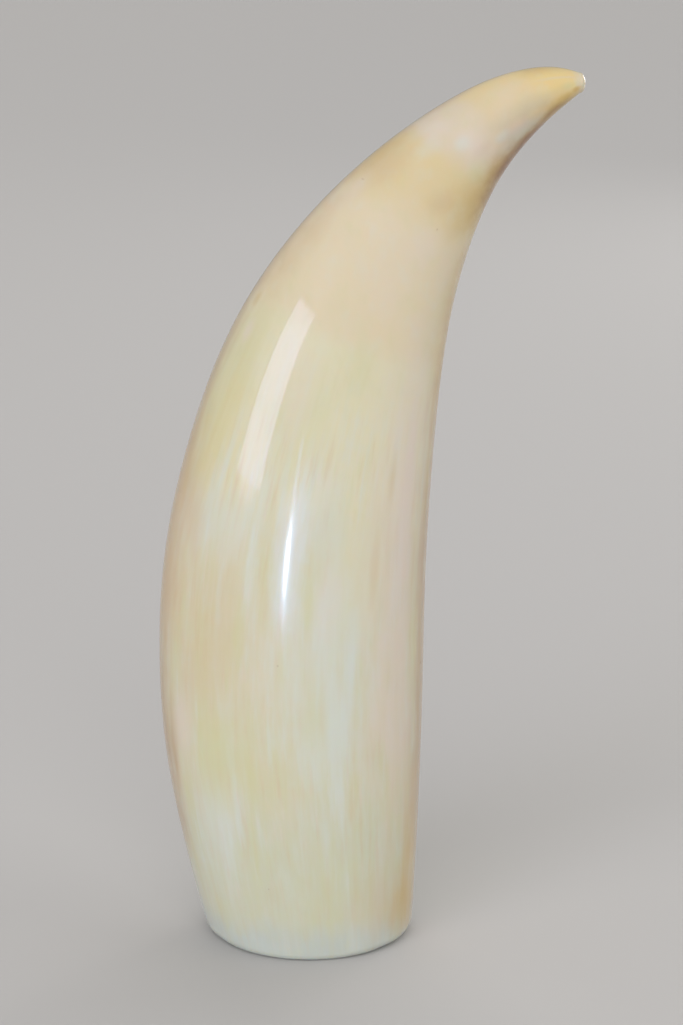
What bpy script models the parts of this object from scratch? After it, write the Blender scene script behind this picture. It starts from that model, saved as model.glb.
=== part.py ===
"""Polished sperm whale tooth, standing on its sawn root end.

The tooth grew in one piece, so it is one solid. Its flank is drawn as a row of sections, each a straight line
across the flank from the bowed outer edge to the hollow inner edge, with the tooth's thickness there. Smooth
curves through those sections carry an oval from the sawn root up to the worn, rounded tip.

X points the way the tip hooks, Y runs through the thickness, Z is up, and the origin is the centre of the
sawn face. All sizes are in metres.
"""

import math
from collections import namedtuple

import bmesh
import bpy
import numpy as np
from mathutils import Vector

# An outer or inner point is (x, z) in the flank plane, and thickness is the full size along Y.
Section = namedtuple("Section", "outer inner thickness")

# The flank from the sawn root to the tip, at the places where its shape changes.
SECTIONS = (
    Section(outer=(-0.0194, 0.0000), inner=(0.0200, 0.0000), thickness=0.0325),
    Section(outer=(-0.0233, 0.0160), inner=(0.0208, 0.0160), thickness=0.0354),
    Section(outer=(-0.0270, 0.0360), inner=(0.0215, 0.0350), thickness=0.0372),
    Section(outer=(-0.0281, 0.0560), inner=(0.0219, 0.0535), thickness=0.0368),
    Section(outer=(-0.0266, 0.0770), inner=(0.0222, 0.0720), thickness=0.0342),
    Section(outer=(-0.0216, 0.0985), inner=(0.0231, 0.0900), thickness=0.0305),
    Section(outer=(-0.0127, 0.1206), inner=(0.0246, 0.1080), thickness=0.0262),
    Section(outer=(-0.0001, 0.1385), inner=(0.0274, 0.1254), thickness=0.0218),
    Section(outer=(0.0132, 0.1512), inner=(0.0321, 0.1399), thickness=0.0176),
    Section(outer=(0.0262, 0.1601), inner=(0.0374, 0.1493), thickness=0.0137),
    Section(outer=(0.0375, 0.1648), inner=(0.0429, 0.1556), thickness=0.0101),
    Section(outer=(0.0455, 0.1654), inner=(0.0468, 0.1591), thickness=0.0068),
    Section(outer=(0.0488, 0.1646), inner=(0.0490, 0.1609), thickness=0.0042),
)

TIP_LENGTH = 0.0011
TIP_RINGS = 4
RINGS = 42
SIDES = 60

# How far the sawn rim is rounded at the outer and inner edges, and the flanks' share of that.
RIM_ROUND = 0.0030
FLANK_RIM_SHARE = 0.5
RIM_SEGMENTS = 3
SHARP_EDGE_DEGREES = 35

IVORY = (0.66, 0.58, 0.41, 1.0)
IVORY_ROUGHNESS = 0.18


def clear_scene():
    """Removes what the startup file put in the scene."""
    for obj in list(bpy.data.objects):
        bpy.data.objects.remove(obj)


def second_slopes(knots, values):
    """The bending of a natural cubic spline at each knot, from the usual three-term equations."""
    gaps = np.diff(knots)
    rises = np.diff(values, axis=0) / gaps[:, None]
    matrix = np.eye(len(knots))
    right = np.zeros_like(values)
    for i in range(1, len(knots) - 1):
        matrix[i, i - 1 : i + 2] = gaps[i - 1], 2 * (gaps[i - 1] + gaps[i]), gaps[i]
        right[i] = 6 * (rises[i] - rises[i - 1])
    return np.linalg.solve(matrix, right)


def smooth_curve(knots, values):
    """A function that reads a natural cubic spline through the values at the knots."""
    bends = second_slopes(knots, values)

    def read(place):
        i = int(np.clip(np.searchsorted(knots, place) - 1, 0, len(knots) - 2))
        gap = knots[i + 1] - knots[i]
        after = (place - knots[i]) / gap
        before = 1 - after
        straight = before * values[i] + after * values[i + 1]
        bent = (before**3 - before) * bends[i] + (after**3 - after) * bends[i + 1]
        return straight + bent * gap**2 / 6

    return read


def flank_curve():
    """The spline through the sections, and the distance up the middle of the flank to the last of them."""
    values = np.array([(*s.outer, *s.inner, s.thickness) for s in SECTIONS])
    middles = (values[:, 0:2] + values[:, 2:4]) / 2
    steps = np.linalg.norm(np.diff(middles, axis=0), axis=1)
    knots = np.concatenate([[0.0], np.cumsum(steps)])
    return smooth_curve(knots, values), knots[-1]


def oval(bm, middle, across, half_thickness):
    """One ring of the tooth: an oval whose long axis is across, in the flank, and whose other axis is Y."""
    ring = []
    for i in range(SIDES):
        angle = math.tau * i / SIDES
        point = middle + across * math.cos(angle)
        point.y += half_thickness * math.sin(angle)
        ring.append(bm.verts.new(point))
    return ring


def body_rings(bm):
    """The rings from the sawn root to where the tip starts to round off, and the last ring's measures."""
    read, length = flank_curve()
    rings = []
    for i in range(RINGS + 1):
        outer_x, outer_z, inner_x, inner_z, thickness = read(length * i / RINGS)
        outer, inner = Vector((outer_x, 0, outer_z)), Vector((inner_x, 0, inner_z))
        middle, across = (outer + inner) / 2, (inner - outer) / 2
        rings.append(oval(bm, middle, across, thickness / 2))
    return rings, middle, across, thickness / 2


def tip_rings(bm, middle, across, half_thickness):
    """The rings that round off the worn tip, as a quarter ellipse, and the point that closes it."""
    forward = across.cross(Vector((0, 1, 0))).normalized() * TIP_LENGTH
    rings = []
    for i in range(1, TIP_RINGS + 1):
        angle = math.pi / 2 * i / (TIP_RINGS + 1)
        share = math.cos(angle)
        rings.append(oval(bm, middle + forward * math.sin(angle), across * share, half_thickness * share))
    return rings, bm.verts.new(middle + forward)


def weight_root_rim(bm, rim):
    """Sets how far the sawn rim is rounded: all of RIM_ROUND at the two edges, and less along the flanks."""
    weights = bm.edges.layers.float.new("bevel_weight_edge")
    for i, first in enumerate(rim):
        edge = bm.edges.get((first, rim[(i + 1) % SIDES]))
        flank = math.sin(math.tau * (i + 0.5) / SIDES) ** 2
        edge[weights] = 1 + (FLANK_RIM_SHARE - 1) * flank


def make_tooth(collection):
    """The whole tooth as one closed mesh, with its rim rounded by a Bevel modifier."""
    bm = bmesh.new()
    rings, *end = body_rings(bm)
    last_rings, point = tip_rings(bm, *end)
    rings += last_rings
    for lower, upper in zip(rings, rings[1:]):
        for i in range(SIDES):
            j = (i + 1) % SIDES
            bm.faces.new((lower[i], lower[j], upper[j], upper[i]))
    for i in range(SIDES):
        bm.faces.new((rings[-1][i], rings[-1][(i + 1) % SIDES], point))
    bm.faces.new(rings[0])
    bmesh.ops.recalc_face_normals(bm, faces=bm.faces)
    weight_root_rim(bm, rings[0])

    mesh = bpy.data.meshes.new("tooth")
    bm.to_mesh(mesh)
    bm.free()
    mesh.shade_smooth()
    mesh.set_sharp_from_angle(angle=math.radians(SHARP_EDGE_DEGREES))
    mesh.materials.append(ivory())
    tooth = bpy.data.objects.new("tooth", mesh)
    collection.objects.link(tooth)

    rim = tooth.modifiers.new("rounded rim", "BEVEL")
    rim.limit_method = "WEIGHT"
    rim.width = RIM_ROUND
    rim.segments = RIM_SEGMENTS
    rim.harden_normals = True
    return tooth


def ivory():
    """Polished tooth ivory: warm cream, not metallic, with a soft gloss."""
    material = bpy.data.materials.new("ivory")
    material.use_nodes = True
    shader = material.node_tree.nodes["Principled BSDF"]
    shader.inputs["Base Color"].default_value = IVORY
    shader.inputs["Roughness"].default_value = IVORY_ROUGHNESS
    shader.inputs["Metallic"].default_value = 0.0
    return material


def main():
    clear_scene()
    collection = bpy.data.collections.new("sperm whale tooth")
    bpy.context.scene.collection.children.link(collection)
    make_tooth(collection)


main()
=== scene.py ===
"""The looks of a polished sperm whale tooth: its fine skin, its ivory, and a plain pale stage."""

import math
from collections import namedtuple

import bmesh
import bpy
import numpy as np
from bpy.props import FloatProperty, FloatVectorProperty, IntProperty, PointerProperty
from mathutils import Color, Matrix, Quaternion, Vector, noise


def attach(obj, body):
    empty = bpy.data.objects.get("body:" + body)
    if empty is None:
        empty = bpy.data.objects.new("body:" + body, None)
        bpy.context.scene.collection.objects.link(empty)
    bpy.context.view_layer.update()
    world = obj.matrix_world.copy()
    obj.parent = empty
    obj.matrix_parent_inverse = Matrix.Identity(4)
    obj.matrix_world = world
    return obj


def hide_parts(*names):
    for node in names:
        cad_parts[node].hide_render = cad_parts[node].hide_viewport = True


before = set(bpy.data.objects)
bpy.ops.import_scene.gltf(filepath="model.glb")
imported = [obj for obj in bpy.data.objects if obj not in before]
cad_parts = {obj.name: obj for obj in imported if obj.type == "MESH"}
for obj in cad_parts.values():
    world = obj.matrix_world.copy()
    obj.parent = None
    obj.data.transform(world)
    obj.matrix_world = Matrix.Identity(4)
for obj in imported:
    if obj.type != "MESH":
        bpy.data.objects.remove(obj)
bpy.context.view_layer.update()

bl_info = {
    "name": "Polished Whale Tooth",
    "version": (1, 0, 0),
    "blender": (4, 5, 0),
    "location": "3D View > Sidebar > Whale Tooth",
    "description": "Makes a polished sperm whale tooth with its ivory, and a plain stage to show it on",
    "category": "Object",
}

TOOTH_NODE = "tooth"

# An outer or inner point is (x, z) in the flank plane, and thickness is the full size along Y, in metres.
Section = namedtuple("Section", "outer inner thickness")

# The flank from the sawn root to the tip, at the places where its shape changes, as the solid has it.
SECTIONS = (
    Section(outer=(-0.0194, 0.0000), inner=(0.0200, 0.0000), thickness=0.0325),
    Section(outer=(-0.0233, 0.0160), inner=(0.0208, 0.0160), thickness=0.0354),
    Section(outer=(-0.0270, 0.0360), inner=(0.0215, 0.0350), thickness=0.0372),
    Section(outer=(-0.0281, 0.0560), inner=(0.0219, 0.0535), thickness=0.0368),
    Section(outer=(-0.0266, 0.0770), inner=(0.0222, 0.0720), thickness=0.0342),
    Section(outer=(-0.0216, 0.0985), inner=(0.0231, 0.0900), thickness=0.0305),
    Section(outer=(-0.0127, 0.1206), inner=(0.0246, 0.1080), thickness=0.0262),
    Section(outer=(-0.0001, 0.1385), inner=(0.0274, 0.1254), thickness=0.0218),
    Section(outer=(0.0132, 0.1512), inner=(0.0321, 0.1399), thickness=0.0176),
    Section(outer=(0.0262, 0.1601), inner=(0.0374, 0.1493), thickness=0.0137),
    Section(outer=(0.0375, 0.1648), inner=(0.0429, 0.1556), thickness=0.0101),
    Section(outer=(0.0455, 0.1654), inner=(0.0468, 0.1591), thickness=0.0068),
    Section(outer=(0.0488, 0.1646), inner=(0.0490, 0.1609), thickness=0.0042),
)

BASE_RINGS = 14
RIM_RINGS = 10
TIP_RINGS = 14
SLOPE_STEP = 1e-4
UP = np.array([0.0, 0.0, 1.0])
RING = "ring_place"
CHIP_SHIFT = Vector((21.0, 0.0, 0.0))

# The colours up the tooth, as shares of the way from the sawn root to the tip. The rim and root colours at
# the bottom are partly painted shade, darker than the middle of the tooth.
ZONES = (
    (0.000, "rim"),
    (0.018, "rim"),
    (0.055, "root"),
    (0.130, "root"),
    (0.200, "flank"),
    (0.440, "flank"),
    (0.500, "middle"),
    (0.640, "middle"),
    (0.668, "shoulder"),
    (0.765, "shoulder"),
    (0.815, "neck"),
    (0.838, "neck"),
    (0.862, "cloud"),
    (0.885, "cloud"),
    (0.915, "hook"),
    (0.940, "hook"),
    (0.965, "tip"),
)

# A noise pattern: its cells along each axis, in each metre of the object or over the ring places, how far it
# is moved, its detail and roughness, and how far it reaches either way where it bends a border.
Pattern = namedtuple("Pattern", "cells shift detail roughness reach", defaults=(0.0, 2.0, 0.5, 0.0))

# Patterns over the object.
DRIFT = Pattern((90.0, 90.0, 90.0), 1.0, 3.0, reach=0.016)
WIDE_CLOUDS = Pattern((80.0, 80.0, 50.0), 11.0, 3.0)
BLOTCHES = Pattern((330.0, 330.0, 200.0), 7.0, 3.0)
CLOUDY = Pattern((260.0, 260.0, 260.0), 2.0, 4.0, reach=0.45)
NUB_EDGE = Pattern((500.0, 500.0, 500.0), 4.0, reach=0.004)
RING_WAVER = Pattern((120.0, 120.0, 120.0), detail=3.0, reach=0.04)
RIPPLES = Pattern((900.0, 900.0, 500.0), 4.0)

# Patterns over the ring places, which follow the tooth.
FINGERS = Pattern((3.0, 3.0, 6.0), 3.0, 3.0, reach=0.05)
BANDS = Pattern((7.0, 7.0, 7.0), 5.0, 3.0)
THREADS = Pattern((16.0, 16.0, 14.0), 9.0, 3.0, 0.55)
HAIRS = Pattern((44.0, 44.0, 24.0), 8.0, 3.0, 0.6)
FRAYED = Pattern((6.0, 6.0, 15.0), 2.0, 2.5, reach=0.62)
GRAIN = Pattern((6.0, 6.0, 20.0), 6.0)

# A veil of colour over the ivory. It begins where its pattern is at start, and has its whole strength where
# the pattern is at full.
Veil = namedtuple("Veil", "start full strength colour")

# Wide, very soft clouds of paler and of warmer ivory, all over.
CLOUDS = {
    WIDE_CLOUDS: (Veil(0.52, 0.75, 0.40, "butter"), Veil(0.48, 0.25, 0.25, "lilac")),
    BLOTCHES: (Veil(0.50, 0.75, 0.18, "chalk"), Veil(0.50, 0.25, 0.18, "butter")),
}

# Growth streaks along the tooth, wide and narrow ones.
STREAKS = {
    BANDS: (Veil(0.50, 0.75, 0.66, "chalk"), Veil(0.50, 0.25, 0.56, "butter")),
    THREADS: (Veil(0.50, 0.78, 0.48, "chalk"), Veil(0.50, 0.22, 0.40, "tan")),
    HAIRS: (Veil(0.52, 0.80, 0.35, "lilac"), Veil(0.48, 0.20, 0.30, "butter")),
}

# Shares of the way up the tooth between which something comes in, or dies out where the first is the higher.
FINGERS_COME = (-0.05, 0.20)
FINGERS_END = (0.64, 0.52)
STREAKS_COME = (0.02, 0.16)
STREAKS_END = (0.68, 0.50)
CLOUDY_COME = (0.60, 0.70)
NUB_COMES = (0.992, 1.000)
SAWN_END = (0.5, 0.4)

# What is left of the streaks at the rim.
RIM_STREAKS = 0.4

# The sawn face: where its dark middle, its plain outer layer and its edge come in, as shares of the way from
# its middle to the side. A third number is the most that the colour covers.
DARK_MIDDLE = (0.10, 0.02, 0.7)
OUTER_LAYER = (0.74, 0.76)
SAWN_EDGE = (0.93, 0.88)

# The growth rings of the whole sawn face, and the heights of their wave between which they darken.
RING_WAVES = 14
RING_SHADE = (-0.4, 1.0, 0.4)

# The polish: the range of its roughness and the least of it, its ripples, and what is the same all over.
ROUGHNESS = (0.1, 0.3)
RIPPLE_STRENGTH = 0.2
RIPPLE_HEIGHT = 0.00002
POLISH = {
    "IOR": 1.54,
    "Specular IOR Level": 0.3,
    "Coat Weight": 1.0,
    "Coat Roughness": 0.05,
    "Coat IOR": 1.5,
    "Subsurface Weight": 0.4,
    "Subsurface Radius": (1.0, 0.6, 0.35),
    "Subsurface Scale": 0.003,
}

# How far from its middle a mark ends and is full, as shares of its half width and half height.
MARK_EDGE = 1.4
MARK_FULL = 0.1

# A soft mark in the ivory. Turn is the direction around the tooth in degrees: 0 at the inner edge, 180 at
# the outer edge, and -90 in the middle of the near flank. Along is the share of the way from root to tip.
# Wide is half its width, as a share of the tooth's half width there, and tall is half its height, in the
# same share as along. Later marks lie over earlier ones.
Mark = namedtuple("Mark", "colour turn along wide tall strength")

MARKS = (
    # The outer and inner edges, darkened partly by real stains and partly by painted shade.
    Mark("tan", 180, 0.400, 0.66, 0.340, 0.65),
    Mark("umber", -173, 0.360, 0.30, 0.260, 0.54),
    Mark("ochre", 180, 0.300, 0.36, 0.300, 0.35),
    Mark("tan", 180, 0.740, 0.34, 0.200, 0.60),
    Mark("tan", 0, 0.400, 0.42, 0.440, 0.60),
    Mark("umber", -9, 0.220, 0.28, 0.280, 0.55),
    Mark("tan", 0, 0.720, 0.46, 0.160, 0.75),
    Mark("umber", -7, 0.660, 0.23, 0.200, 0.40),
    Mark("tan", -20, 0.110, 0.30, 0.110, 0.45),
    Mark("ochre", -28, 0.040, 0.26, 0.032, 0.50),
    Mark("tan", -6, 0.070, 0.30, 0.060, 0.45),
    Mark("umber", -9, 0.490, 0.36, 0.150, 0.36),
    Mark("ochre", -8, 0.700, 0.40, 0.120, 0.36),
    Mark("tan", -166, 0.430, 0.34, 0.130, 0.62),
    Mark("umber", -171, 0.200, 0.32, 0.110, 0.50),
    # Wide pale and warm fields in the root half.
    Mark("chalk", -76, 0.310, 0.36, 0.130, 0.45),
    Mark("chalk", -130, 0.150, 0.26, 0.060, 0.45),
    Mark("chalk", -130, 0.455, 0.36, 0.034, 0.42),
    Mark("tan", -125, 0.345, 0.38, 0.090, 0.34),
    Mark("lilac", -38, 0.280, 0.22, 0.170, 0.50),
    Mark("lilac", -42, 0.460, 0.36, 0.270, 0.60),
    Mark("chalk", -62, 0.360, 0.16, 0.140, 0.35),
    Mark("tan", -46, 0.065, 0.28, 0.045, 0.40),
    Mark("butter", -122, 0.225, 0.28, 0.055, 0.60),
    Mark("butter", -146, 0.570, 0.34, 0.095, 0.50),
    Mark("butter", -100, 0.560, 0.30, 0.065, 0.35),
    Mark("tip", -140, 0.540, 0.26, 0.060, 0.18),
    Mark("middle", -64, 0.425, 0.34, 0.080, 0.50),
    # Streaks along the root half.
    Mark("chalk", -71, 0.255, 0.08, 0.085, 0.70),
    Mark("chalk", -63, 0.335, 0.06, 0.055, 0.55),
    Mark("chalk", -76, 0.135, 0.05, 0.050, 0.50),
    Mark("chalk", -79, 0.480, 0.20, 0.060, 0.40),
    Mark("lilac", -104, 0.580, 0.14, 0.050, 0.35),
    Mark("lilac", -145, 0.245, 0.13, 0.036, 0.50),
    Mark("lilac", -37, 0.535, 0.09, 0.120, 0.70),
    Mark("butter", -107, 0.205, 0.08, 0.032, 0.50),
    Mark("tan", -147, 0.452, 0.16, 0.028, 0.32),
    Mark("chalk", -80, 0.430, 0.18, 0.050, 0.22),
    Mark("lilac", -75, 0.396, 0.12, 0.040, 0.40),
    Mark("chalk", -73, 0.375, 0.16, 0.060, 0.38),
    Mark("butter", -80, 0.272, 0.10, 0.040, 0.30),
    Mark("chalk", -50, 0.200, 0.10, 0.040, 0.25),
    Mark("butter", -112, 0.355, 0.06, 0.038, 0.40),
    Mark("butter", -83, 0.385, 0.05, 0.036, 0.40),
    Mark("ochre", -49, 0.525, 0.05, 0.040, 0.30),
    Mark("tan", -54, 0.420, 0.05, 0.040, 0.30),
    Mark("ochre", -24, 0.080, 0.20, 0.060, 0.50),
    # The smooth shoulder, with a small orange stain at its outer edge.
    Mark("ochre", -158, 0.656, 0.07, 0.010, 0.35),
    Mark("lilac", -150, 0.626, 0.07, 0.012, 0.45),
    Mark("tan", -150, 0.730, 0.22, 0.060, 0.35),
    Mark("lilac", -66, 0.765, 0.24, 0.024, 0.34),
    Mark("lilac", -146, 0.790, 0.18, 0.018, 0.40),
    # The neck below the hook, most stained towards the hollow.
    Mark("ochre", -42, 0.832, 0.46, 0.044, 0.58),
    Mark("tan", -74, 0.812, 0.22, 0.014, 0.50),
    Mark("tan", -146, 0.818, 0.46, 0.034, 0.50),
    Mark("ochre", -164, 0.824, 0.30, 0.034, 0.40),
    # The hook: white clouds on the near flank, and lilac ones beside the inner edge. Under the hook and the
    # tip, where they face down, the grey, rim-coloured, umber and rust marks are painted shade over real
    # ochre and gold stains.
    Mark("lilac", -134, 0.868, 0.34, 0.014, 0.35),
    Mark("lilac", -90, 0.878, 0.42, 0.012, 0.52),
    Mark("chalk", -97, 0.872, 0.18, 0.009, 0.50),
    Mark("chalk", -120, 0.850, 0.20, 0.014, 0.25),
    Mark("umber", -75, 0.881, 0.14, 0.014, 0.10),
    # Painted shade beside the inner edge, where the hook faces down.
    Mark("grey", -80, 0.940, 0.34, 0.046, 0.36),
    Mark("lilac", -62, 0.922, 0.22, 0.022, 0.55),
    Mark("chalk", -69, 0.904, 0.14, 0.010, 0.60),
    Mark("butter", -60, 0.860, 0.26, 0.016, 0.45),
    Mark("ochre", -34, 0.872, 0.38, 0.030, 0.60),
    # Painted shade on the hook's downward side, in the umber and rim colours.
    Mark("umber", -46, 0.930, 0.56, 0.060, 0.34),
    Mark("rim", -46, 0.922, 0.32, 0.034, 0.58),
    Mark("ochre", -4, 0.905, 0.72, 0.110, 0.80),
    # Painted shade with real stain along the underside of the hook.
    Mark("umber", -14, 0.905, 0.52, 0.090, 0.70),
    Mark("rust", -20, 0.912, 0.34, 0.080, 0.85),
    Mark("ochre", -26, 0.978, 0.60, 0.030, 0.75),
    Mark("tan", 180, 0.900, 0.34, 0.060, 0.60),
    Mark("tip", -160, 0.935, 0.40, 0.040, 0.60),
    Mark("ochre", -168, 0.970, 0.60, 0.022, 0.60),
    Mark("cloud", -122, 0.980, 0.10, 0.022, 0.45),
    Mark("ochre", -40, 0.974, 0.36, 0.022, 0.45),
    # Painted shade with real stain under the tip.
    Mark("rust", -36, 0.970, 0.28, 0.022, 0.42),
    Mark("ochre", -52, 0.984, 0.28, 0.008, 0.50),
    Mark("gold", -60, 0.985, 0.28, 0.016, 0.42),
    Mark("gold", -72, 0.996, 0.20, 0.006, 0.50),
    Mark("butter", -92, 0.988, 0.24, 0.008, 0.40),
    Mark("ochre", -66, 0.995, 0.26, 0.004, 0.60),
    # Specks.
    Mark("rust", -95, 0.324, 0.009, 0.0012, 0.28),
    Mark("rust", -13, 0.311, 0.016, 0.0020, 0.40),
    Mark("rust", -106, 0.083, 0.009, 0.0012, 0.30),
    Mark("umber", -65, 0.788, 0.014, 0.0014, 0.40),
    Mark("umber", -147, 0.795, 0.050, 0.0012, 0.35),
    # The far flank, which the picture hides.
    Mark("chalk", 78, 0.330, 0.30, 0.140, 0.45),
    Mark("chalk", 70, 0.240, 0.08, 0.090, 0.60),
    Mark("butter", 116, 0.230, 0.28, 0.060, 0.50),
    Mark("tan", 122, 0.380, 0.34, 0.080, 0.35),
    Mark("lilac", 38, 0.460, 0.12, 0.160, 0.55),
    Mark("butter", 140, 0.570, 0.30, 0.080, 0.45),
    Mark("ochre", 46, 0.830, 0.42, 0.032, 0.70),
    Mark("tan", 140, 0.828, 0.46, 0.026, 0.60),
    Mark("chalk", 96, 0.874, 0.22, 0.011, 0.60),
    Mark("lilac", 66, 0.922, 0.26, 0.022, 0.55),
    Mark("ochre", 160, 0.970, 0.60, 0.022, 0.50),
    Mark("cloud", 112, 0.984, 0.14, 0.020, 0.50),
)


def screen(red, green, blue):
    """The linear colour of screen values from 0 to 255."""
    return tuple(Color((red / 255, green / 255, blue / 255)).from_srgb_to_scene_linear())


def colour_property(name, description, default):
    return FloatVectorProperty(
        name=name, description=description, default=default, subtype="COLOR", min=0.0, max=1.0
    )


def length_property(name, description, default):
    return FloatProperty(name=name, description=description, default=default, min=0.0, unit="LENGTH")


def share_property(name, description, default):
    return FloatProperty(
        name=name, description=description, default=default, min=0.0, max=1.0, subtype="FACTOR"
    )


class ToothSizes(bpy.types.PropertyGroup):
    """The sizes of the tooth's skin that the solid's sections don't give."""

    sides: IntProperty(name="Sides", description="Points around the tooth", default=144, min=24, max=256)
    rings: IntProperty(
        name="Rings", description="Rings from the root rim to the tip", default=220, min=24, max=400
    )
    rim_round: length_property(
        "Rim rounding", "Reach of the sawn rim's rounding at the outer and inner edges", 0.003
    )
    flank_rim_share: share_property("Flank rim share", "The rim's rounding on the flanks, as a share", 0.5)
    tip_length: length_property("Tip length", "Length of the worn, rounded end of the tip", 0.0011)
    wave_height: length_property("Wave height", "Height of the faint waves from hand polishing", 0.00002)
    wave_length: length_property("Wave length", "Distance between those waves", 0.016)
    wear_depth: length_property("Wear depth", "Depth of the small flats worn on the tip", 0.0002)
    wear_length: length_property("Wear length", "Distance between those flats", 0.0022)
    chip_depth: length_property("Chip depth", "Depth of the shallow chips along the sawn rim", 0.0006)
    chip_length: length_property("Chip length", "Distance between those chips", 0.006)
    chip_reach: length_property("Chip reach", "How far up from the sawn face the chips reach", 0.006)


class IvoryColours(bpy.types.PropertyGroup):
    """The colours that the ivory is painted with."""

    # The rim and root colours are partly painted shade: they paint the tooth darker and cooler towards its
    # base. The rim colour also paints shade under the hook, and colours the sawn face's outer layer.
    rim: colour_property("Rim", "The cool ivory at the sawn rim", screen(199, 206, 198))
    # Root is partly painted shade, darker than the middle of the tooth.
    root: colour_property("Root", "The ivory above the rim", screen(208, 209, 184))
    flank: colour_property("Flank", "The ivory of the root half", screen(214, 209, 180))
    middle: colour_property("Middle", "The ivory half way up", screen(223, 217, 186))
    shoulder: colour_property("Shoulder", "The ivory of the smooth shoulder", screen(224, 211, 180))
    neck: colour_property("Neck", "The yellow ivory below the hook", screen(221, 204, 160))
    cloud: colour_property("Cloud", "The pale cloud on the hook", screen(220, 207, 184))
    hook: colour_property("Hook", "The ivory behind the tip", screen(223, 205, 163))
    tip: colour_property("Tip", "The yellow ivory of the tip", screen(229, 207, 148))
    nub: colour_property("Nub", "The worn end of the tip", screen(218, 208, 178))
    chalk: colour_property("Chalk", "Pale streaks and clouds", screen(214, 220, 212))
    lilac: colour_property("Lilac", "Pale streaks with a pink cast", screen(225, 212, 200))
    butter: colour_property("Butter", "Yellow-green clouds", screen(209, 208, 160))
    # Grey is painted shade on the hook's near flank, beside the inner edge where the hook faces down.
    grey: colour_property("Grey", "The greyish ivory of the hook's near flank", screen(192, 188, 168))
    gold: colour_property("Gold", "The gold stain under the tip", screen(212, 178, 88))
    # Tan along both edges is partly painted shade; elsewhere it is real stain.
    tan: colour_property("Tan", "Warm stains", screen(211, 187, 150))
    ochre: colour_property("Ochre", "Deep yellow stains", screen(204, 176, 112))
    # Umber is painted shade along both edges and under the hook and the tip, with some real brown stain; its
    # small specks are real.
    umber: colour_property("Umber", "Dull brown stains along both edges", screen(176, 140, 102))
    # Rust under the hook and the tip is painted shade with real brown stain; its small specks are real.
    rust: colour_property("Rust", "Brown stains under the hook", screen(138, 92, 48))
    sawn: colour_property("Sawn face", "The flat root face", screen(212, 203, 176))
    ring: colour_property("Ring", "The growth rings on the sawn face", screen(190, 176, 142))


class StageSettings(bpy.types.PropertyGroup):
    """The floor, the air and the camera."""

    camera_place: FloatVectorProperty(
        name="Camera place",
        description="Where the camera stands",
        default=(0.0064, -0.438, 0.195),
        subtype="TRANSLATION",
        unit="LENGTH",
    )
    camera_tilt: FloatProperty(
        name="Camera tilt",
        description="How far the camera looks down",
        default=math.radians(14.283),
        subtype="ANGLE",
        unit="ROTATION",
    )
    lens: FloatProperty(
        name="Lens", description="Focal length on a 36 mm long side", default=85.0, unit="CAMERA"
    )
    floor_size: length_property("Floor size", "Width of the floor", 12.0)
    floor_colour: colour_property("Floor colour", "Colour of the plain floor", screen(200, 199, 198))
    air_colour: colour_property(
        "Air colour", "Colour of the even light from all round", screen(252, 250, 250)
    )
    air_light: FloatProperty(
        name="Air light", description="Brightness of the even light", default=0.34, min=0.0
    )


def natural_bends(knots, values):
    """The bending of a natural cubic spline at each knot, from the usual three-term equations."""
    gaps = np.diff(knots)
    rises = np.diff(values, axis=0) / gaps[:, None]
    matrix = np.eye(len(knots))
    right = np.zeros_like(values)
    for i in range(1, len(knots) - 1):
        matrix[i, i - 1 : i + 2] = gaps[i - 1], 2 * (gaps[i - 1] + gaps[i]), gaps[i]
        right[i] = 6 * (rises[i] - rises[i - 1])
    return np.linalg.solve(matrix, right)


class Flank:
    """The smooth curves through the sections, read at any height up the middle of the flank."""

    def __init__(self, sections):
        self.values = np.array([(*s.outer, *s.inner, s.thickness) for s in sections])
        middles = (self.values[:, 0:2] + self.values[:, 2:4]) / 2
        steps = np.linalg.norm(np.diff(middles, axis=0), axis=1)
        self.knots = np.concatenate([[0.0], np.cumsum(steps)])
        self.bends = natural_bends(self.knots, self.values)
        self.length = self.knots[-1]

    def read(self, heights):
        """The outer x and z, inner x and z, and thickness at each height."""
        i = np.clip(np.searchsorted(self.knots, heights) - 1, 0, len(self.knots) - 2)
        gap = (self.knots[i + 1] - self.knots[i])[:, None]
        after = (heights - self.knots[i])[:, None] / gap
        before = 1 - after
        straight = before * self.values[i] + after * self.values[i + 1]
        bent = (before**3 - before) * self.bends[i] + (after**3 - after) * self.bends[i + 1]
        return straight + bent * gap**2 / 6

    def section(self, heights):
        """Each section's middle, its half width towards the inner edge, and its half thickness."""
        outer_x, outer_z, inner_x, inner_z, thickness = self.read(heights).T
        level = np.zeros_like(heights)
        outer = np.stack([outer_x, level, outer_z], axis=-1)
        inner = np.stack([inner_x, level, inner_z], axis=-1)
        return (outer + inner) / 2, (inner - outer) / 2, thickness / 2

    def oval(self, turn, across, half_thickness):
        """The step from a section's middle to its edge, in the direction turn."""
        step = across * np.cos(turn)[:, None]
        step[:, 1] += half_thickness * np.sin(turn)
        return step

    def side(self, heights, turn):
        """Points on the tooth's side."""
        middle, across, half_thickness = self.section(heights)
        return middle + self.oval(turn, across, half_thickness)


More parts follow.
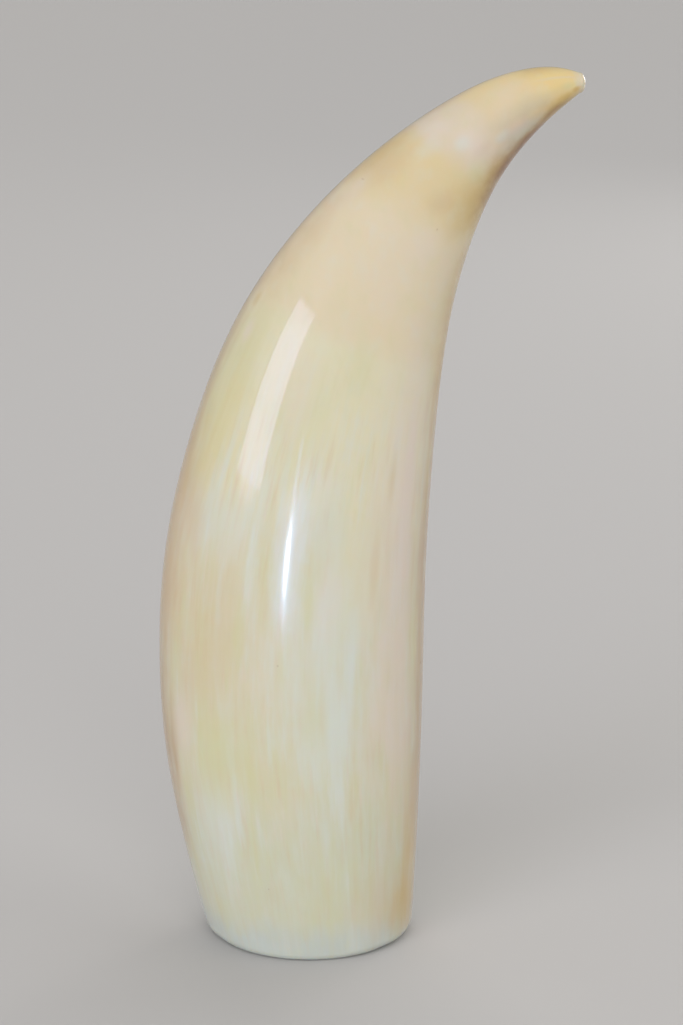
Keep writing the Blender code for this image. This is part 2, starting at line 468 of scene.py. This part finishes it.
class Skin:
    """The rings of the tooth's surface, from the middle of the sawn face to the tip, each point with its ring
    place: the direction around the tooth as x and y on a unit circle, and the share of the way up as z."""

    def __init__(self, sizes):
        self.sizes = sizes
        self.flank = Flank(SECTIONS)
        self.turn = np.linspace(0, math.tau, sizes.sides, endpoint=False)
        self.circle = np.stack([np.cos(self.turn), np.sin(self.turn)], axis=-1)
        self.rim_reach = sizes.rim_round * (1 + (sizes.flank_rim_share - 1) * np.sin(self.turn) ** 2)
        self.rings = []
        self.add_root()
        self.add_side()
        self.add_tip()

    def add(self, points, share, height):
        share = np.broadcast_to(share, self.turn.shape)
        height = np.broadcast_to(height, self.turn.shape)
        places = np.column_stack([self.circle * share[:, None], height / self.flank.length])
        self.rings.append((points, places))

    def add_root(self):
        """The sawn face, and the rounded rim, which meets the face and the side without a crease."""
        reach, turn, side = self.rim_reach, self.turn, self.flank.side
        corner = side(np.zeros_like(turn), turn)
        top = side(reach, turn)
        around = side(reach, turn + SLOPE_STEP) - side(reach, turn - SLOPE_STEP)
        rising = side(reach + SLOPE_STEP, turn) - side(reach - SLOPE_STEP, turn)
        outward = np.cross(around, rising)
        outward /= np.linalg.norm(outward, axis=-1, keepdims=True)
        lean = np.arcsin(-outward[:, 2])
        level = outward * (1, 1, 0)
        level /= np.linalg.norm(level, axis=-1, keepdims=True)

        flat_edge = corner - level * reach[:, None]
        radius = (reach * np.tan((math.pi / 2 + lean) / 2))[:, None]
        self.root_middle = flat_edge.mean(axis=0)
        edge_share = np.linalg.norm(flat_edge, axis=-1) / np.linalg.norm(corner, axis=-1)
        for i in range(1, BASE_RINGS + 1):
            share = i / BASE_RINGS
            self.add(self.root_middle + (flat_edge - self.root_middle) * share, edge_share * share, 0.0)

        def rim_arc(angle):
            return flat_edge + radius * (np.cos(angle)[:, None] * level + (1 - np.sin(angle))[:, None] * UP)

        for i in range(1, RIM_RINGS + 1):
            rise = i / RIM_RINGS
            points = rim_arc(math.pi / 2 + (lean - math.pi / 2) * rise) + (top - rim_arc(lean)) * rise
            self.add(points, edge_share + (1 - edge_share) * rise, points[:, 2])

    def add_side(self):
        for i in range(1, self.sizes.rings + 1):
            heights = self.rim_reach + (self.flank.length - self.rim_reach) * i / self.sizes.rings
            self.add(self.flank.side(heights, self.turn), 1.0, heights)

    def add_tip(self):
        """The worn end of the tip, rounded off as a quarter ellipse."""
        middle, across, half_thickness = self.flank.section(np.full_like(self.turn, self.flank.length))
        forward = np.cross(across[0], (0, 1, 0))
        forward *= self.sizes.tip_length / np.linalg.norm(forward)
        for i in range(1, TIP_RINGS + 1):
            angle = math.pi / 2 * i / (TIP_RINGS + 1)
            step = self.flank.oval(self.turn, across, half_thickness) * math.cos(angle)
            height = self.flank.length + self.sizes.tip_length * math.sin(angle)
            self.add(middle + forward * math.sin(angle) + step, math.cos(angle), height)
        self.tip = middle[0] + forward
        self.tip_height = 1 + self.sizes.tip_length / self.flank.length

    def build(self):
        """The rings as one closed mesh of quads, with a point at each end."""
        bm = bmesh.new()
        layer = bm.verts.layers.float_vector.new(RING)

        def vert(point, place):
            made = bm.verts.new(point)
            made[layer] = Vector(place)
            return made

        rings = []
        for points, places in self.rings:
            rings.append([vert(point, place) for point, place in zip(points, places)])
        start = vert(self.root_middle, (0, 0, 0))
        end = vert(self.tip, (0, 0, self.tip_height))
        for lower, upper in zip(rings, rings[1:]):
            for i in range(len(lower)):
                bm.faces.new((lower[i - 1], lower[i], upper[i], upper[i - 1]))
        for i in range(len(rings[0])):
            bm.faces.new((start, rings[0][i], rings[0][i - 1]))
            bm.faces.new((rings[-1][i - 1], rings[-1][i], end))
        bmesh.ops.recalc_face_normals(bm, faces=bm.faces)
        self.weather(bm, layer)
        mesh = bpy.data.meshes.new("tooth_skin")
        bm.to_mesh(mesh)
        bm.free()
        mesh.shade_smooth()
        return mesh

    def weather(self, bm, layer):
        """Moves the skin by a hair for polishing waves, and wears the tip and the sawn rim a little."""
        sizes = self.sizes
        bm.normal_update()
        moves = []
        for vert in bm.verts:
            place = vert[layer]
            rise = min(max((vert.co.z - sizes.rim_round) / sizes.wave_length, 0.0), 1.0)
            wave = noise.noise(vert.co / sizes.wave_length) * sizes.wave_height * rise
            worn = min(max((place.z - 1) / (self.tip_height - 1), 0.0), 1.0)
            flat = min(noise.noise(vert.co / sizes.wear_length), 0.0) * sizes.wear_depth * worn
            low = max(1 - vert.co.z / sizes.chip_reach, 0.0)
            chip = min(noise.noise(vert.co / sizes.chip_length + CHIP_SHIFT), 0.0) * sizes.chip_depth * low
            moves.append(vert.normal * (wave + flat) + Vector((place.x, place.y, 0.0)) * chip)
        for vert, move in zip(bm.verts, moves):
            vert.co += move


class Paint:
    """Adds linked nodes to one material or light. A value is a number, a colour or another node's output."""

    def __init__(self, owner, shader="Principled BSDF"):
        owner.use_nodes = True
        self.nodes = owner.node_tree.nodes
        self.links = owner.node_tree.links
        self.shader = self.nodes[shader]

    def feed(self, socket, value):
        if isinstance(value, bpy.types.NodeSocket):
            self.links.new(value, socket)
        elif socket.type == "RGBA":
            socket.default_value = (*value[:3], 1.0)
        else:
            socket.default_value = value

    def add(self, kind, inputs, output=0, **settings):
        """Makes a node, sets it, feeds its sockets by name or number, and returns one of its outputs."""
        node = self.nodes.new(kind)
        for name, value in settings.items():
            setattr(node, name, value)
        for socket, value in inputs.items():
            self.feed(node.inputs[socket], value)
        return node.outputs[output]

    def maths(self, operation, first, second=0.0, third=0.0):
        return self.add("ShaderNodeMath", {0: first, 1: second, 2: third}, operation=operation)

    def vector(self, operation, first, second=(0, 0, 0), output=0):
        return self.add("ShaderNodeVectorMath", {0: first, 1: second}, output=output, operation=operation)

    def mix(self, share, first, second):
        return self.add("ShaderNodeMix", {0: share, 6: first, 7: second}, output=2, data_type="RGBA")

    def blend(self, share, first, second):
        return self.add("ShaderNodeMix", {0: share, 2: first, 3: second}, data_type="FLOAT")

    def smooth(self, value, low, high, top=1.0):
        """Rises smoothly from 0 at low to top at high. It falls where low is above high."""
        inputs = {"Value": value, "From Min": low, "From Max": high, "To Min": 0.0, "To Max": top}
        if low > high:
            inputs.update({"From Min": high, "From Max": low, "To Min": top, "To Max": 0.0})
        return self.add("ShaderNodeMapRange", inputs, interpolation_type="SMOOTHSTEP")

    def ramp(self, value, stops):
        """A colour read from stops, each a place from 0 to 1 and its colour."""
        node = self.nodes.new("ShaderNodeValToRGB")
        self.feed(node.inputs[0], value)
        elements = node.color_ramp.elements
        while len(elements) < len(stops):
            elements.new(0.5)
        for element, (position, colour) in zip(elements, stops):
            element.position = position
            element.color = (*colour[:3], 1.0)
        node.color_ramp.interpolation = "EASE"
        return node.outputs[0]

    def stretch(self, vector, scale):
        return self.vector("MULTIPLY", vector, scale)

    def cloud(self, vector, pattern):
        """A noise pattern, about 0.5."""
        shift = (pattern.shift, pattern.shift, pattern.shift)
        moved = self.vector("ADD", self.stretch(vector, pattern.cells), shift)
        inputs = {"Vector": moved, "Scale": 1.0, "Detail": pattern.detail, "Roughness": pattern.roughness}
        return self.add("ShaderNodeTexNoise", inputs)

    def swing(self, vector, pattern):
        """A noise pattern turned into a number about 0, up to about its reach either way."""
        return self.maths("MULTIPLY_ADD", self.cloud(vector, pattern), 2 * pattern.reach, -pattern.reach)


class Ivory:
    """Polished tooth ivory, painted by the ring places so that its growth streaks follow the tooth."""

    def __init__(self, colours):
        self.colours = colours
        self.material = bpy.data.materials.new("ivory")
        self.paint = Paint(self.material)
        self.place = self.paint.add("ShaderNodeAttribute", {}, output="Vector", attribute_name=RING)
        self.spot = self.paint.add("ShaderNodeTexCoord", {}, output="Object")
        self.along = self.paint.add("ShaderNodeSeparateXYZ", {0: self.place}, output="Z")
        self.colour = self.zones()
        self.veil(self.spot, CLOUDS, 1.0)
        self.veil(self.place, STREAKS, self.streaked())
        self.stains()
        self.sawn_face()
        self.polish()

    def cover(self, share, name):
        """Covers a share of the ivory with the colour of that name."""
        self.colour = self.paint.mix(share, self.colour, getattr(self.colours, name))

    def zones(self):
        """The colours up the tooth, with wavering borders."""
        paint = self.paint
        fingers = paint.swing(self.place, FINGERS)
        fingers = paint.maths("MULTIPLY", fingers, paint.smooth(self.along, *FINGERS_COME))
        drift = paint.swing(self.spot, DRIFT)
        border = paint.blend(paint.smooth(self.along, *FINGERS_END), drift, fingers)
        stops = [(stop, getattr(self.colours, name)) for stop, name in ZONES]
        return paint.ramp(paint.maths("ADD", self.along, border), stops)

    def streaked(self):
        """The mask of the streaks: faint at the rim, full in the root half, and gone at the shoulder."""
        paint = self.paint
        above_rim = paint.blend(paint.smooth(self.along, *STREAKS_COME), RIM_STREAKS, 1.0)
        return paint.maths("MULTIPLY", paint.smooth(self.along, *STREAKS_END), above_rim)

    def veil(self, vector, veils, mask):
        """Covers the ivory with the veils of each pattern, where the mask lets them show."""
        paint = self.paint
        for pattern, pair in veils.items():
            value = paint.cloud(vector, pattern)
            for veil in pair:
                share = paint.smooth(value, veil.start, veil.full, veil.strength)
                self.cover(paint.maths("MULTIPLY", share, mask), veil.colour)

    # Besides the real stains, these marks paint shade along both edges and under the hook and the tip.
    def stains(self):
        """The worn end of the tip, then the marks, with frayed edges in the root half, cloudy ones above."""
        paint = self.paint
        worn = paint.maths("ADD", self.along, paint.swing(self.spot, NUB_EDGE))
        self.cover(paint.smooth(worn, *NUB_COMES), "nub")
        frayed = paint.swing(self.place, FRAYED)
        cloudy = paint.swing(self.spot, CLOUDY)
        wobble = paint.blend(paint.smooth(self.along, *CLOUDY_COME), frayed, cloudy)
        for mark in MARKS:
            self.cover(self.stain(wobble, mark), mark.colour)

    def stain(self, wobble, mark):
        """The mask of one soft mark: full in its middle, and gone at its wobbly edge."""
        paint = self.paint
        turn = math.radians(mark.turn)
        offset = paint.vector("SUBTRACT", self.place, (math.cos(turn), math.sin(turn), mark.along))
        scaled = paint.stretch(offset, (1 / mark.wide, 1 / mark.wide, 1 / mark.tall))
        distance = paint.vector("LENGTH", scaled, output="Value")
        return paint.smooth(paint.maths("ADD", distance, wobble), MARK_EDGE, MARK_FULL, mark.strength)

    def sawn_face(self):
        """Growth rings around the root's middle, inside a plain outer layer."""
        paint, colours = self.paint, self.colours
        level = paint.vector("MULTIPLY", self.place, (1.0, 1.0, 0.0))
        share = paint.vector("LENGTH", level, output="Value")
        moved = paint.maths("ADD", share, paint.swing(self.spot, RING_WAVER))
        rings = paint.maths("SINE", paint.maths("MULTIPLY", moved, RING_WAVES * math.tau))
        dentine = paint.mix(paint.smooth(rings, *RING_SHADE), colours.sawn, colours.ring)
        dentine = paint.mix(paint.smooth(moved, *DARK_MIDDLE), dentine, colours.ring)
        layers = paint.mix(paint.smooth(moved, *OUTER_LAYER), dentine, colours.rim)
        flat = paint.maths("MULTIPLY", paint.smooth(share, *SAWN_EDGE), paint.smooth(self.along, *SAWN_END))
        self.colour = paint.mix(flat, self.colour, layers)

    def polish(self):
        """The soft glow of ivory under its hard polish, which is a little uneven."""
        paint, inputs = self.paint, self.paint.shader.inputs
        paint.feed(inputs["Base Color"], self.colour)
        grain = paint.cloud(self.place, GRAIN)
        paint.feed(inputs["Roughness"], paint.maths("MULTIPLY_ADD", grain, *ROUGHNESS))
        ripples = {"Height": paint.cloud(self.spot, RIPPLES), "Strength": RIPPLE_STRENGTH}
        bump = paint.add("ShaderNodeBump", {**ripples, "Distance": RIPPLE_HEIGHT})
        paint.feed(inputs["Normal"], bump)
        paint.feed(inputs["Coat Normal"], bump)
        for name, value in POLISH.items():
            inputs[name].default_value = value


class ToothOperator(bpy.types.Operator):
    """Makes the tooth's polished skin around its solid"""

    bl_idname = "whale_tooth.make_tooth"
    bl_label = "Make Tooth"
    bl_options = {"REGISTER", "UNDO"}

    def execute(self, context):
        mesh = Skin(context.scene.whale_tooth_sizes).build()
        mesh.materials.append(Ivory(context.scene.whale_tooth_colours).material)
        tooth = bpy.data.objects.new("polished_tooth", mesh)
        context.scene.collection.objects.link(tooth)
        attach(tooth, "root")
        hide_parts(TOOTH_NODE)
        return {"FINISHED"}


# An area light at place, in metres. It faces along facing, with its roll in degrees. Brightness is how bright
# it looks, beside white paper in full light. Use is "mirror" where it shows only in the polish, "lighting"
# where it only lights the tooth and the floor, or "both". A soft one fades from its middle to its edge.
Lamp = namedtuple(
    "Lamp", "name shape place facing roll wide tall brightness colour use soft", defaults=(False,)
)

# A wide light from far away in the direction of place, spread over some degrees. Brightness is how bright it
# makes white paper, beside paper in full light.
Sky = namedtuple("Sky", "name place spread brightness colour")

AHEAD = (0.0, 1.0, 0.1)
WINDOW_WAY = (0.932, 0.167, -0.321)
WINDOW_ROLL = -4.4
WHITE = (1.0, 0.98, 0.95)
COLD_WHITE = (0.85, 0.92, 1.0)
PALE_BLUE = (0.52, 0.74, 1.0)
BLUE = (0.20, 0.38, 1.0)

SKIES = (
    Sky("front_sky", (-0.28, -1.0, 0.42), 80.0, 0.625, WHITE),
    Sky("back_sky", (0.40, 1.0, 0.80), 80.0, 0.34, WHITE),
)

# The window and its image in the polish are apart, so that each has its own brightness. The small lights
# stand in front of the tooth, and their images are the thin bright line down its flank.
LAMPS = (
    Lamp("window", "RECTANGLE", (-2.310, -3.219, 0.789), WINDOW_WAY, WINDOW_ROLL, 1.75, 1.09,
         5.0, (0.69, 0.72, 1.0), "lighting"),
    Lamp("window_image", "RECTANGLE", (-2.300, -3.280, 0.789), WINDOW_WAY, WINDOW_ROLL, 2.06, 1.09,
         4.05, (0.59, 0.59, 1.0), "mirror"),
    Lamp("window_sill", "RECTANGLE", (-2.488, -3.314, 0.226), WINDOW_WAY, WINDOW_ROLL, 1.20, 0.10,
         1.34, (0.78, 0.68, 1.0), "mirror"),
    Lamp("side_window", "RECTANGLE", (1.30, -0.20, 0.70), (-1.3, 0.2, -0.6), 0, 0.90, 0.90,
         1.2, WHITE, "both"),
    Lamp("back_window", "RECTANGLE", (0.75, 1.00, 0.32), (-0.75, -1.00, -0.22), 0, 0.30, 0.45,
         4.0, WHITE, "both"),
    Lamp("glint_core", "ELLIPSE", (-0.038, -0.367, 0.049), AHEAD, 0, 0.015, 0.037,
         15.0, COLD_WHITE, "mirror"),
    Lamp("glint", "ELLIPSE", (-0.038, -0.368, 0.046), AHEAD, 0, 0.048, 0.078,
         12.0, PALE_BLUE, "mirror", soft=True),
    Lamp("glint_line", "ELLIPSE", (-0.041, -0.368, 0.088), AHEAD, 14, 0.010, 0.040,
         3.4, BLUE, "mirror"),
    Lamp("glow", "ELLIPSE", (-0.037, -0.370, 0.043), AHEAD, 0, 0.176, 0.108,
         6.2, BLUE, "mirror", soft=True),
)

# The share of its width times its height that a light of each shape fills.
FILLED = {"RECTANGLE": 1.0, "ELLIPSE": math.pi / 4}

# A light's middle, and the distance from there to its edge, in its own coordinates.
LIGHT_MIDDLE = (0.5, 0.5, 0.0)
LIGHT_EDGE = 0.5

SENSOR_WIDTH = 36.0
FLOOR_ROUGHNESS = 0.7


def stand(scene, data, lamp, facing, roll, use):
    """Puts a light in the scene, hidden from the camera."""
    data.color = lamp.colour
    light = bpy.data.objects.new(lamp.name, data)
    light.location = lamp.place
    turned = Vector(facing).to_track_quat("-Z", "Y") @ Quaternion((0, 0, 1), math.radians(roll))
    light.rotation_euler = turned.to_euler()
    light.visible_camera = False
    light.visible_glossy = use != "lighting"
    light.visible_diffuse = use != "mirror"
    light.visible_transmission = False
    scene.collection.objects.link(light)


def soften(data):
    """Fades a light from its middle to its edge."""
    paint = Paint(data, "Emission")
    spread = paint.add("ShaderNodeNewGeometry", {}, output="Parametric")
    offset = paint.vector("SUBTRACT", spread, LIGHT_MIDDLE)
    distance = paint.vector("LENGTH", offset, output="Value")
    paint.feed(paint.shader.inputs["Strength"], paint.smooth(distance, LIGHT_EDGE, 0.0))


def add_lamp(scene, lamp):
    data = bpy.data.lights.new(lamp.name, "AREA")
    data.shape = lamp.shape
    data.size = lamp.wide
    data.size_y = lamp.tall
    data.energy = lamp.brightness * math.pi * lamp.wide * lamp.tall * FILLED[lamp.shape]
    if lamp.soft:
        soften(data)
    stand(scene, data, lamp, lamp.facing, lamp.roll, lamp.use)


def add_sky(scene, sky):
    """A wide, soft light from far away, which the polish doesn't mirror."""
    data = bpy.data.lights.new(sky.name, "SUN")
    data.angle = math.radians(sky.spread)
    data.energy = sky.brightness * math.pi
    stand(scene, data, sky, -Vector(sky.place), 0, "lighting")


class StageOperator(bpy.types.Operator):
    """Sets the pale floor, the soft lights and the camera"""

    bl_idname = "whale_tooth.set_stage"
    bl_label = "Set Stage"
    bl_options = {"REGISTER", "UNDO"}

    def execute(self, context):
        stage = context.scene.whale_tooth_stage
        set_camera(context.scene, stage)
        floor = make_floor(stage)
        context.scene.collection.objects.link(floor)
        set_air(context.scene, stage)
        for sky in SKIES:
            add_sky(context.scene, sky)
        for lamp in LAMPS:
            add_lamp(context.scene, lamp)
        context.scene.view_settings.view_transform = "Standard"
        return {"FINISHED"}


def set_air(scene, stage):
    world = bpy.data.worlds.new("studio_air")
    world.use_nodes = True
    background = world.node_tree.nodes["Background"]
    background.inputs["Color"].default_value = (*stage.air_colour, 1.0)
    background.inputs["Strength"].default_value = stage.air_light
    scene.world = world


def set_camera(scene, stage):
    data = bpy.data.cameras.new("camera")
    data.sensor_width = SENSOR_WIDTH
    data.lens = stage.lens
    camera = bpy.data.objects.new("camera", data)
    camera.location = stage.camera_place
    camera.rotation_euler = (math.pi / 2 - stage.camera_tilt, 0.0, 0.0)
    scene.collection.objects.link(camera)
    scene.camera = camera


def make_floor(stage):
    bm = bmesh.new()
    bmesh.ops.create_grid(bm, x_segments=1, y_segments=1, size=stage.floor_size / 2)
    mesh = bpy.data.meshes.new("floor")
    bm.to_mesh(mesh)
    bm.free()
    material = bpy.data.materials.new("pale_floor")
    paint = Paint(material)
    paint.feed(paint.shader.inputs["Base Color"], stage.floor_colour)
    paint.feed(paint.shader.inputs["Roughness"], FLOOR_ROUGHNESS)
    paint.feed(paint.shader.inputs["Specular IOR Level"], 0.0)
    mesh.materials.append(material)
    return bpy.data.objects.new("floor", mesh)


class WhaleToothPanel(bpy.types.Panel):
    """Lists the tooth's operators and settings"""

    bl_idname = "VIEW3D_PT_whale_tooth"
    bl_label = "Whale Tooth"
    bl_space_type = "VIEW_3D"
    bl_region_type = "UI"
    bl_category = "Whale Tooth"

    def draw(self, context):
        layout = self.layout
        layout.operator(ToothOperator.bl_idname)
        layout.operator(StageOperator.bl_idname)
        for name, group in SETTINGS.items():
            box = layout.box()
            for key in group.__annotations__:
                box.prop(getattr(context.scene, name), key)


SETTINGS = {
    "whale_tooth_sizes": ToothSizes,
    "whale_tooth_colours": IvoryColours,
    "whale_tooth_stage": StageSettings,
}
CLASSES = (*SETTINGS.values(), ToothOperator, StageOperator, WhaleToothPanel)


def register():
    for cls in CLASSES:
        bpy.utils.register_class(cls)
    for name, group in SETTINGS.items():
        setattr(bpy.types.Scene, name, PointerProperty(type=group))


def unregister():
    for name in SETTINGS:
        delattr(bpy.types.Scene, name)
    for cls in reversed(CLASSES):
        bpy.utils.unregister_class(cls)


def main():
    register()
    bpy.ops.whale_tooth.make_tooth()
    bpy.ops.whale_tooth.set_stage()


if __name__ == "__main__":
    main()
